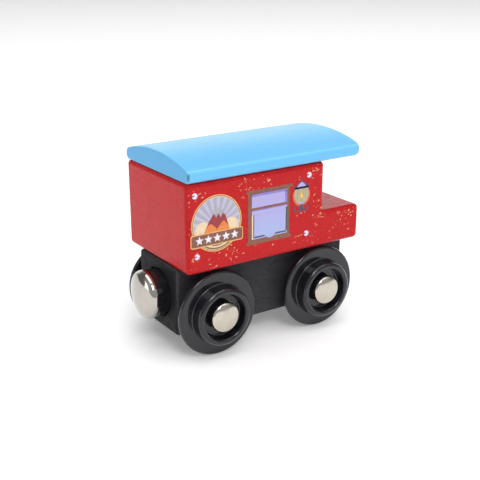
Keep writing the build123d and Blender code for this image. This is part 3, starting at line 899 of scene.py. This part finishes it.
def copy_to_wheel(piece, name, end, side_name):
    """Copy a piece made for the front left wheel to another wheel, turned about for the right side."""
    start = about_axle("front_left_wheel", 0)(0, 0)
    there = about_axle(f"{end}_{side_name}_wheel", 0)(0, 0)
    use(piece)
    bpy.ops.object.duplicate()
    twin = bpy.context.object
    twin.name = name
    edit(twin)
    bpy.ops.mesh.select_all(action="SELECT")
    bpy.ops.transform.translate(value=there - start)
    if side_name == "right":
        bpy.ops.transform.rotate(value=pi, orient_axis="Z", center_override=there)
    leave_edit()
    return twin


corners = [("front", "right"), ("rear", "left"), ("rear", "right")]
for end, side_name in corners:
    base = f"{end}_{side_name}_wheel"
    wheel = copy_to_wheel(master_wheel, f"moulded_{base}", end, side_name)
    finish_piece(wheel, f"{base}set", "black_plastic", base)
finish_piece(master_wheel, "front_left_wheelset", "black_plastic", "front_left_wheel")

# ---------------- hub caps
# Domed caps stamped from steel, nickel plated and softly polished. Each is pressed over an axle's end by a
# collar on its back, and keeps the wheel on.
nickel = metal("nickel plate", (0.57, 0.53, 0.45, 1), (0.50, 0.46, 0.39, 1), 0.1, 0.17, 1.2, 0.002)
cap_radius, cap_underside, cap_rim, cap_top, cap_shoulder = 3.65, 15.15, 15.35, 16.6, 0.75
collar_radius, collar_y = 2.4, 13.9
cap_outline = [(0, collar_y, 0), (collar_radius, collar_y, 0), (collar_radius, cap_underside, 0),
               (cap_radius, cap_underside, 0)] + dome(cap_radius, cap_rim, cap_top, cap_shoulder)
master_cap = turned("plated_front_left_hub_cap", cap_outline, front_left_axle)
master_cap.data.materials.append(nickel)
for end, side_name in corners:
    base = f"{end}_{side_name}_hub_cap"
    cap = copy_to_wheel(master_cap, f"plated_{base}", end, side_name)
    finish_piece(cap, "car", "nickel", base)
finish_piece(master_cap, "car", "nickel", "front_left_hub_cap")

# ---------------- coupler
# A moulded black cup that turns on its nail at the front of the chassis. A disc magnet lies in it, behind
# a dome stamped from steel, nickel plated and polished bright.
sleeve_low, sleeve_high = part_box("coupler_sleeve")
coupler_z = (sleeve_low.z + sleeve_high.z) / 2
sleeve_bore, sleeve_radius, magnet_radius = 1.38, 5.7, 4.6
sleeve_back, sleeve_floor, sleeve_mouth = -0.3, 0.7, 3.25
magnet_face, dome_radius, dome_rim, dome_top, dome_shoulder = 2.95, 5.85, 3.45, 5.9, 1.5


def about_coupler(radius, reach):
    """Placer for pieces turned about the coupler: radius up, reach forwards from the body's front."""
    return Vector((body_low.x - reach * MM, 0, coupler_z + radius * MM))


sleeve_outline = [
    (sleeve_bore, sleeve_back, 0), (sleeve_radius, sleeve_back, 0.3), (sleeve_radius, sleeve_mouth, 0.15),
    (magnet_radius, sleeve_mouth, 0), (magnet_radius, sleeve_floor, 0), (sleeve_bore, sleeve_floor, 0),
]
sleeve = turned("moulded_coupler_sleeve", sleeve_outline, about_coupler)
sleeve.data.materials.append(black_plastic)
finish_piece(sleeve, "coupler", "black_plastic", "coupler_sleeve")

bright_mirror, dull_mirror = (0.50, 0.475, 0.43, 1), (0.45, 0.425, 0.385, 1)
mirror_nickel = metal("polished nickel", bright_mirror, dull_mirror, 0.05, 0.09, 0.8, 0.0012)
dome_outline = [
    (0, magnet_face, 0), (magnet_radius, magnet_face, 0), (magnet_radius, sleeve_mouth, 0),
    (dome_radius, sleeve_mouth, 0),
] + dome(dome_radius, dome_rim, dome_top, dome_shoulder, 14)
coupler_cap = turned("plated_coupler_cap", dome_outline, about_coupler)
coupler_cap.data.materials.append(mirror_nickel)
finish_piece(coupler_cap, "coupler", "nickel", "coupler_cap")

# ---------------- floor, light and camera
# A plain white floor under soft studio light: a pale backdrop, and soft boxes in front and above, and a
# small lamp and a window at the left.
bpy.ops.object.select_all(action="DESELECT")
bpy.ops.mesh.primitive_plane_add(size=40, location=(0, 0, 0))
floor = bpy.context.object
floor.name = "studio_floor"
floor_white, tree, shader = material(
    "floor white",
    {"Roughness": 0.6, "Specular IOR Level": 0.2, "Emission Color": (1, 1, 1, 1), "Emission Strength": 0.18},
)
place = in_millimetres(tree)
colour = mix(tree, noise(tree, place, 0.02, 3.0), (0.97, 0.97, 0.97, 1), (0.99, 0.99, 0.99, 1))
wire(tree, shader, colour)
floor.data.materials.append(floor_white)

# A pale backdrop stands behind the car on the right. The rest of the room is dim, and darkest at the left.
world = bpy.data.worlds.new("studio")
bpy.context.scene.world = world
world.use_nodes = True
tree = world.node_tree
background = tree.nodes["Background"]
bearing = node(tree, "ShaderNodeTexCoord").outputs["Generated"]
height = split(tree, bearing)["Z"]
right_and_back = (0.6, 0.8, 0)
towards_backdrop = vectors(tree, "DOT_PRODUCT", bearing, right_and_back, output="Value")
backdrop_white, backdrop_top = (1.15, 1.15, 1.15, 1), (0.34, 0.34, 0.35, 1)
room_front, room_dim = (0.44, 0.44, 0.46, 1), (0.15, 0.15, 0.15, 1)
backdrop = mix(tree, ramp(tree, height, 0.36, 0.5), backdrop_white, backdrop_top)
room = mix(tree, ramp(tree, towards_backdrop, -0.4, 0.1), room_front, room_dim)
shade = mix(tree, ramp(tree, towards_backdrop, 0.4, 0.8), room, backdrop)
tree.links.new(shade, background.inputs["Color"])
background.inputs["Strength"].default_value = 1.15


car_middle = Vector((0, 0, 0.02))


def soft_box(name, direction, size, power, distance=1.2):
    """A square soft box aimed at the middle of the car."""
    data = bpy.data.lights.new(name, "AREA")
    data.shape, data.size, data.energy = "SQUARE", size, power
    made = bpy.data.objects.new(name, data)
    bpy.context.scene.collection.objects.link(made)
    towards = Vector(direction).normalized()
    made.location = car_middle + towards * distance
    made.rotation_euler = towards.to_track_quat("Z", "Y").to_euler()


soft_box("key", (0.45, -0.5, 0.78), 0.9, 1.8)
soft_box("lamp", (-0.22, -0.68, 0.70), 0.42, 3.8)
soft_box("window", (-0.92, 0.33, 0.14), 0.4, 1.0)
soft_box("top", (0.0, 0.05, 1.0), 1.2, 8.3)

camera_azimuth, camera_elevation = radians(-33.67), radians(19.3)
camera_distance = 0.2196
target = Vector((4.8, 5.0, 19.62)) * MM
level = cos(camera_elevation)
back = Vector((sin(camera_azimuth) * level, -cos(camera_azimuth) * level, sin(camera_elevation)))
camera_data = bpy.data.cameras.new("camera")
camera_data.lens, camera_data.sensor_width = 64.8, 36
camera_data.clip_start, camera_data.clip_end = 0.005, 100
camera = bpy.data.objects.new("camera", camera_data)
bpy.context.scene.collection.objects.link(camera)
camera.location = target + back * camera_distance
camera.rotation_euler = (-back).to_track_quat("-Z", "Y").to_euler()
bpy.context.scene.camera = camera
bpy.context.scene.view_settings.view_transform = "Standard"
